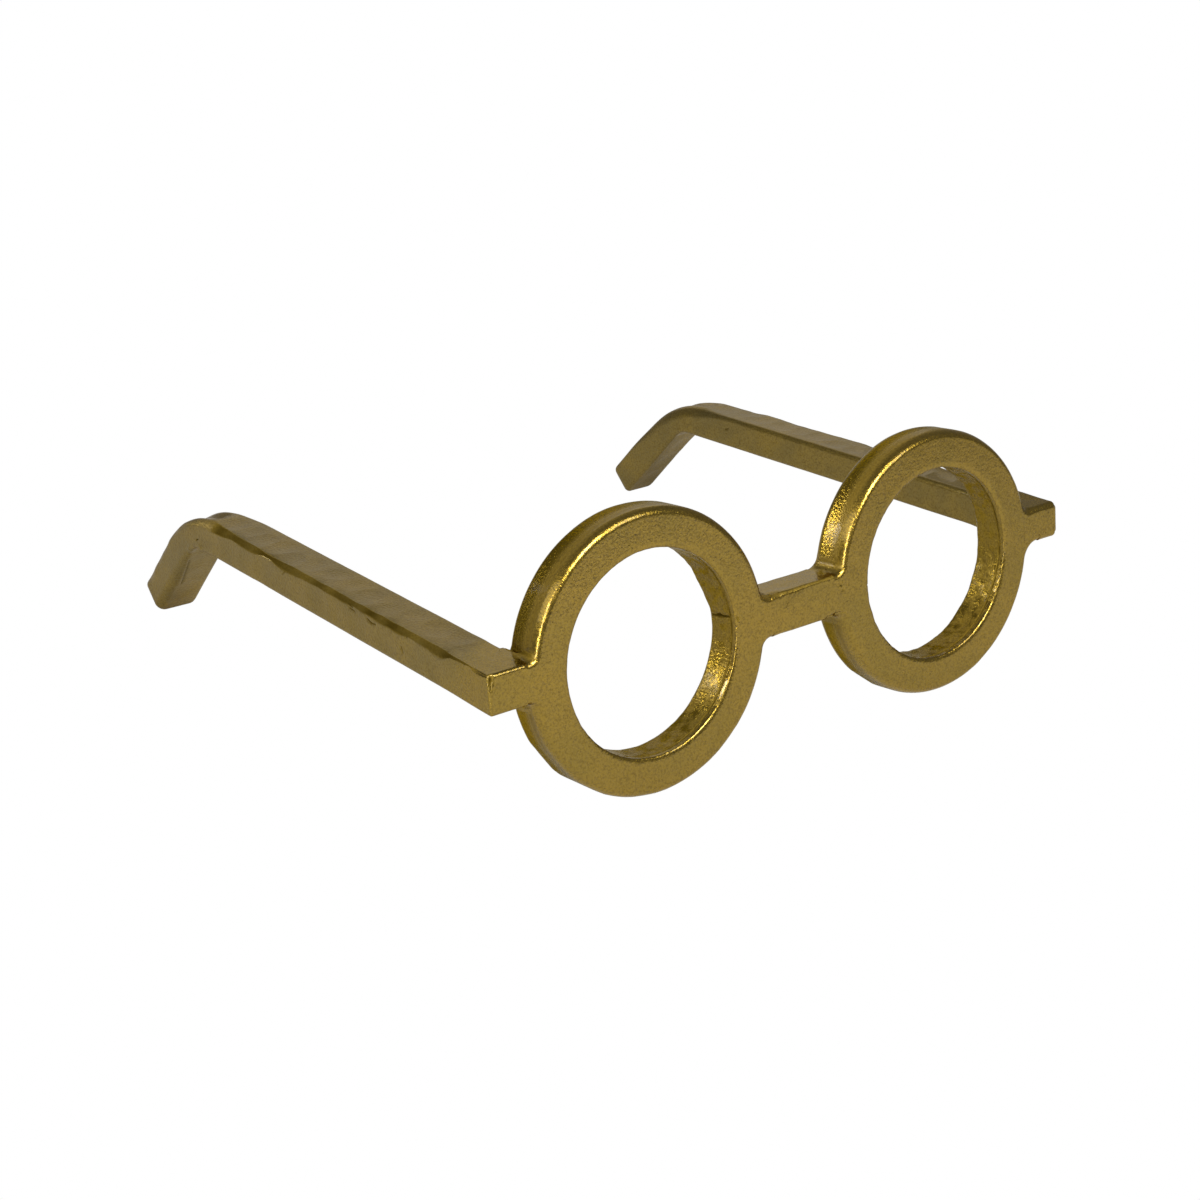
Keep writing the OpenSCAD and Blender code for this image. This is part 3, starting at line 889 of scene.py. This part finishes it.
# Marks on the temples, in a temple's own frame: out, along, up
templeMarks = {
    left: [
        ((1.0, 200.0, 6.4), (1.0, 216.0, 1.4), 5.5, 1.5, 0.0),
        ((8.2, 202.0, -7.2), (8.2, 211.0, -11.0), 3.0, -0.8, 0.0),
        # painted shade in a crease down the drop, and along the lower outer edge of the bend
        ((6.2, 217.9, -16.3), (4.0, 232.9, -31.2), 0.55, 0.3, 0.6),
        ((8.0, 197.0, -7.4), (8.3, 206.0, -9.2), 0.6, 0.1, 0.6),
        ((8.9, 203.0, -2.6), (8.9, 204.6, -3.4), 0.5, 0.3, 1.0),
        ((8.9, 134.0, 2.8), (8.9, 131.6, 4.6), 0.5, 0.25, 0.8),
        ((8.9, 87.5, 5.4), (8.9, 84.0, 5.0), 0.5, 0.35, 1.0),
        ((8.9, 86.0, 4.2), (8.9, 82.5, 3.9), 0.5, 0.3, 0.9),
        ((8.9, 74.0, 3.8), (8.9, 71.5, 2.9), 0.55, 0.35, 1.0),
        ((8.9, 71.5, 2.9), (8.9, 68.8, 3.3), 0.5, 0.3, 1.0),
        ((8.9, 52.6, 0.4), (8.9, 51.6, -1.6), 0.55, 0.35, 0.9),
        ((8.9, 49.4, 5.2), (8.9, 48.4, 4.8), 0.5, 0.25, 0.8),
    ],
    right: [
        ((1.0, 200.0, 6.4), (1.0, 216.0, 1.4), 5.5, 1.0, 0.0),
        ((8.9, 150.0, 1.8), (8.9, 147.5, 2.6), 0.5, 0.3, 0.9),
        ((8.9, 96.0, -2.0), (8.9, 93.5, -1.2), 0.5, 0.3, 0.9),
        ((-8.9, 176.0, 1.0), (-8.9, 174.0, 1.8), 0.5, 0.3, 0.9),
    ],
}


def placeTemple(rings, side):
    # from the temple's own frame to the world, on the right: slope about x, then toe-in about z
    slope, toe = templeSlope(side), temples["toeIn"]
    x, y, z = rings[..., 0], rings[..., 1], rings[..., 2]
    y, z = y * math.cos(slope) + z * math.sin(slope), z * math.cos(slope) - y * math.sin(slope)
    x, y = x * math.cos(toe) - y * math.sin(toe), x * math.sin(toe) + y * math.cos(toe)
    middleX = cornerX - endBars[side]["back"] / 2
    start = leanBack(np.array([0.0, 0.0, temples["startZ"]]))
    return np.stack([x + middleX, y + start[1], z + start[2]], -1)


def makeTemple(side, name):
    rings = templeRings(side)
    along = rings.mean(axis=1)[:, 1]
    rings, fields = templeFinish(rings, side)
    rings = placeTemple(rings, side)
    # the first ring lies on the mitre weld, and the pull towards it dies away along the bar
    rings[..., 0] *= side
    share = 1 - ease(along / temples["pull"])
    pull = leanBack(cornerRings(side)[0][-1]) - rings[0]
    rings = rings + share[:, None, None] * pull
    buildPiece(name, rings, fields, "hammered_gold", [name])


# Materials


def maths(tree, operation, first, second):
    # a Math node of two values, each a socket or a number
    node = tree.nodes.new("ShaderNodeMath")
    node.operation = operation
    for socket, value in zip(node.inputs, (first, second)):
        if isinstance(value, float):
            socket.default_value = value
        else:
            tree.links.new(value, socket)
    return node.outputs[0]


def setInputs(node, values):
    # what a node's inputs hold where nothing is linked to them
    for title, value in values.items():
        node.inputs[title].default_value = value


def goldMaterial(name, looks, worked):
    # Lacquered gold: clouds of two tones, fine pebble grain, and darker stains and painted shade
    # where the mesh says so.
    # Where its attribute says hammered, the second set of looks takes over from the first.
    material = bpy.data.materials.new(name)
    material.use_nodes = True
    tree = material.node_tree
    tree.nodes.clear()
    new, link = tree.nodes.new, tree.links.new

    def noise(scale, detail, roughness):
        node = new("ShaderNodeTexNoise")
        setInputs(node, {"Scale": scale, "Detail": detail, "Roughness": roughness})
        link(place.outputs["Object"], node.inputs["Vector"])
        return node.outputs["Fac"]

    def spread(value, low, high, outLow, outHigh):
        node = new("ShaderNodeMapRange")
        setInputs(node, {"From Min": low, "From Max": high, "To Min": outLow, "To Max": outHigh})
        link(value, node.inputs["Value"])
        return node.outputs["Result"]

    def mix(factor, first, second):
        node = new("ShaderNodeMix")
        node.data_type = "RGBA"  # its colours are inputs 6 and 7 and output 2
        link(factor, node.inputs["Factor"])
        for socket, value in ((6, first), (7, second)):
            if isinstance(value, tuple):
                node.inputs[socket].default_value = (*value, 1)
            else:
                link(value, node.inputs[socket])
        return node.outputs[2]

    def attribute(title):
        node = new("ShaderNodeAttribute")
        node.attribute_name = title
        return node.outputs["Fac"]

    place = new("ShaderNodeTexCoord")
    stainedAndShaded, grainy, beaten = attribute("stainAndShade"), attribute("grain"), attribute("hammered")

    clouds = spread(noise(looks["clouds"], 4, 0.6), 0.35, 0.65, 0.0, 1.0)
    smooth = mix(clouds, looks["color"], looks["olive"])
    rugged = mix(clouds, worked["color"], worked["olive"])
    color = mix(beaten, smooth, rugged)
    specks = spread(noise(looks["specks"], 2, 0.6), 0.45, 0.68, 0.0, 0.8)
    color = mix(specks, color, looks["dark"])
    # towards the stain colour, which is also the colour of the painted shade
    color = mix(stainedAndShaded, color, looks["sootAndShade"])

    shader = new("ShaderNodeBsdfPrincipled")
    link(color, shader.inputs["Base Color"])
    fade = spread(stainedAndShaded, 0.0, 0.6, 1.0, 0.0)
    link(fade, shader.inputs["Metallic"])
    link(maths(tree, "MULTIPLY", fade, 0.5), shader.inputs["Specular IOR Level"])
    tint = mix(grainy, looks["edge"], looks["wallEdge"])
    link(mix(beaten, tint, worked["edge"]), shader.inputs["Specular Tint"])
    lacquer = spread(stainedAndShaded, 0.0, 0.6, looks["lacquer"], 0.0)
    even = spread(grainy, 0.0, 1.0, 1.0, 0.2)
    link(maths(tree, "MULTIPLY", lacquer, even), shader.inputs["Coat Weight"])
    setInputs(shader, {"Coat Roughness": 0.1})
    blur = noise(300, 3, 0.6)
    low = spread(beaten, 0, 1, looks["rough"], worked["rough"])
    rough = maths(tree, "ADD", low, spread(blur, 0.3, 0.7, 0.0, 0.08))
    rough = maths(tree, "ADD", rough, maths(tree, "MULTIPLY", stainedAndShaded, 0.25))
    rough = maths(tree, "SUBTRACT", rough, maths(tree, "MULTIPLY", grainy, 0.06))
    link(rough, shader.inputs["Roughness"])

    pebbles = noise(looks["pebble"], 2, 0.5)
    height = maths(tree, "MULTIPLY", pebbles, spread(grainy, 0, 1, *looks["relief"]))
    bump = new("ShaderNodeBump")
    setInputs(bump, {"Strength": 1.0, "Distance": mm})
    link(height, bump.inputs["Height"])
    link(bump.outputs["Normal"], shader.inputs["Normal"])

    output = new("ShaderNodeOutputMaterial")
    link(shader.outputs[0], output.inputs["Surface"])
    return material


smoothLooks = {
    "color": (0.315, 0.203, 0.026),
    "olive": (0.275, 0.185, 0.026),
    "dark": (0.16, 0.1, 0.012),
    "sootAndShade": (0.045, 0.028, 0.003),
    "edge": (0.8, 0.7, 0.5),
    "wallEdge": (0.62, 0.52, 0.22),  # where the grain is
    "rough": 0.2,
    "clouds": 45,
    "specks": 1300,
    "pebble": 1100,
    "relief": (0.12, 0.36),  # for grain 0 and grain 1
    "lacquer": 0.42,
}
hammeredLooks = {
    "color": (0.3, 0.205, 0.038),
    "olive": (0.23, 0.168, 0.045),
    "edge": (0.85, 0.76, 0.6),
    "rough": 0.33,
}
slots = {"smooth_gold": "smoothGold", "hammered_gold": "hammeredGold", "weld_gold": "weldGold"}
gold = {slot: goldMaterial(name, smoothLooks, hammeredLooks) for slot, name in slots.items()}
print("materials ready")

makeRim(left, "left_rim")
makeRim(right, "right_rim")
makeSeamWeld(left, "left_rim_seam_weld")
makeSeamWeld(right, "right_rim_seam_weld")
print("rims made")

makeBridge()
for side, name in ((left, "bridge_left_weld"), (right, "bridge_right_weld")):
    makeWeld(name, bridgeBar, bridgeEdges[side], side, -side, 0, bridgeMarks)
print("bridge made")

for side, word in ((left, "left"), (right, "right")):
    makeEndpiece(side, word + "_endpiece")
    bar, lift = endBars[side], corners[side]["lift"]
    makeWeld(word + "_endpiece_weld", bar, endEdges[side], side, side, lift, cornerMarks[side])
    makeCornerWeld(side, word + "_corner_weld")
    makeTemple(side, word + "_temple")
print("endpieces and temples made")


# Camera, where the photograph was taken from


def wayTo(turn, height):
    # from the object to a place turned round it from its front, and so far above the horizon
    level = math.cos(height)
    return Vector((math.sin(turn) * level, -math.cos(turn) * level, math.sin(height)))


view = {
    "turn": math.radians(-37.50),  # round the object from its front
    "height": math.radians(22.26),  # above the horizon
    "place": (-0.46082, -0.60558, 0.32691),  # in metres
    "lens": 60.9,
    "sensor": 36.0,
    "shift": (0.0033, -0.0057),
}


def makeCamera():
    camera = bpy.data.cameras.new("camera")
    camera.lens = view["lens"]
    camera.sensor_width = view["sensor"]
    camera.shift_x, camera.shift_y = view["shift"]
    holder = bpy.data.objects.new("camera", camera)
    bpy.context.scene.collection.objects.link(holder)
    away = wayTo(view["turn"], view["height"])
    across = Vector((math.cos(view["turn"]), math.sin(view["turn"]), 0))
    axes = Matrix((across, away.cross(across), away)).transposed().to_4x4()
    holder.matrix_world = Matrix.Translation(view["place"]) @ axes
    bpy.context.scene.camera = holder


# Studio


def mixShaders(tree, share, first, second):
    # the second of two shaders takes over by its share
    both = tree.nodes.new("ShaderNodeMixShader")
    for socket, value in zip(both.inputs, (share, first.outputs[0], second.outputs[0])):
        tree.links.new(value, socket)
    return both.outputs[0]


def whiteForCamera(tree, shader):
    # The camera sees plain white. Gloss and clear parts see a share of that white, laid over the
    # real surface with its shadow, and all else meets the real surface.
    path = tree.nodes.new("ShaderNodeLightPath").outputs
    clear = maths(tree, "MAXIMUM", path["Is Glossy Ray"], path["Is Transmission Ray"])
    seen = maths(tree, "MAXIMUM", path["Is Camera Ray"], maths(tree, "MULTIPLY", clear, 0.15))
    glow = tree.nodes.new("ShaderNodeEmission")
    setInputs(glow, {"Color": (1, 1, 1, 1), "Strength": 1.0})
    return mixShaders(tree, seen, shader, glow)


def makeFloor():
    bpy.ops.mesh.primitive_plane_add(size=8)
    floor = bpy.context.object
    floor.name = "floor"
    material = bpy.data.materials.new("floorPaper")
    material.use_nodes = True
    tree = material.node_tree
    shader = tree.nodes["Principled BSDF"]
    setInputs(shader, {"Base Color": (0.69, 0.69, 0.69, 1), "Roughness": 0.9})
    paper = whiteForCamera(tree, shader)
    tree.links.new(paper, tree.nodes["Material Output"].inputs["Surface"])
    floor.data.materials.append(material)


def makeWorld():
    # white for the camera, and a dimmer white that lights the object from all round
    world = bpy.data.worlds.new("studio")
    bpy.context.scene.world = world
    world.use_nodes = True
    tree = world.node_tree
    room = tree.nodes["Background"]
    setInputs(room, {"Color": (1, 1, 1, 1), "Strength": 0.24})
    white = tree.nodes.new("ShaderNodeBackground")
    setInputs(white, {"Color": (1, 1, 1, 1), "Strength": 1.0})
    seen = tree.nodes.new("ShaderNodeLightPath").outputs["Is Camera Ray"]
    both = mixShaders(tree, seen, room, white)
    tree.links.new(both, tree.nodes["World Output"].inputs["Surface"])


def makeLamp(name, azimuth, elevation, distance, size, power):
    # an area lamp that faces the object's middle; angles in degrees, sizes in metres
    lamp = bpy.data.lights.new(name, "AREA")
    lamp.shape = "RECTANGLE"
    lamp.size, lamp.size_y = size
    lamp.energy = power
    holder = bpy.data.objects.new(name, lamp)
    bpy.context.scene.collection.objects.link(holder)
    away = wayTo(math.radians(azimuth), math.radians(elevation))
    holder.location = away * distance
    holder.rotation_euler = away.to_track_quat("Z", "Y").to_euler()
    return holder


def aimLamp(name, place, target, size, spread, power):
    # an area lamp shaded to a cone, aimed at a point
    holder = makeLamp(name, 0, 0, 1, size, power)
    holder.data.spread = math.radians(spread)
    holder.location = place
    way = Vector(place) - Vector(target)
    holder.rotation_euler = way.to_track_quat("Z", "Y").to_euler()


makeCamera()
makeFloor()
makeWorld()
makeLamp("keyLight", -1, 43, 1.2, (0.3, 0.45), 9.5)
makeLamp("leftLight", -75, 38, 1.2, (1.9, 0.5), 4.7)
makeLamp("edgeLight", -46, 16, 1.2, (0.12, 0.75), 5.0)
makeLamp("rightLight", 26, 38, 1.2, (0.25, 0.5), 2.1)
makeLamp("backLight", 146, 25, 1.2, (0.8, 0.7), 0.9)
# Two small shaded lamps behind the object, one for the left rim's bore and one for the right
# rim's wall
aimLamp("boreLight", (-0.216, 0.165, 0.15), (0.0, -0.116, 0.045), (0.05, 0.115), 30, 0.014)
aimLamp("wallLight", (-0.194, 0.321, 0.211), (0.04, -0.11, 0.075), (0.12, 0.12), 16, 0.006)
bpy.context.scene.view_settings.view_transform = "Standard"
print("studio ready")
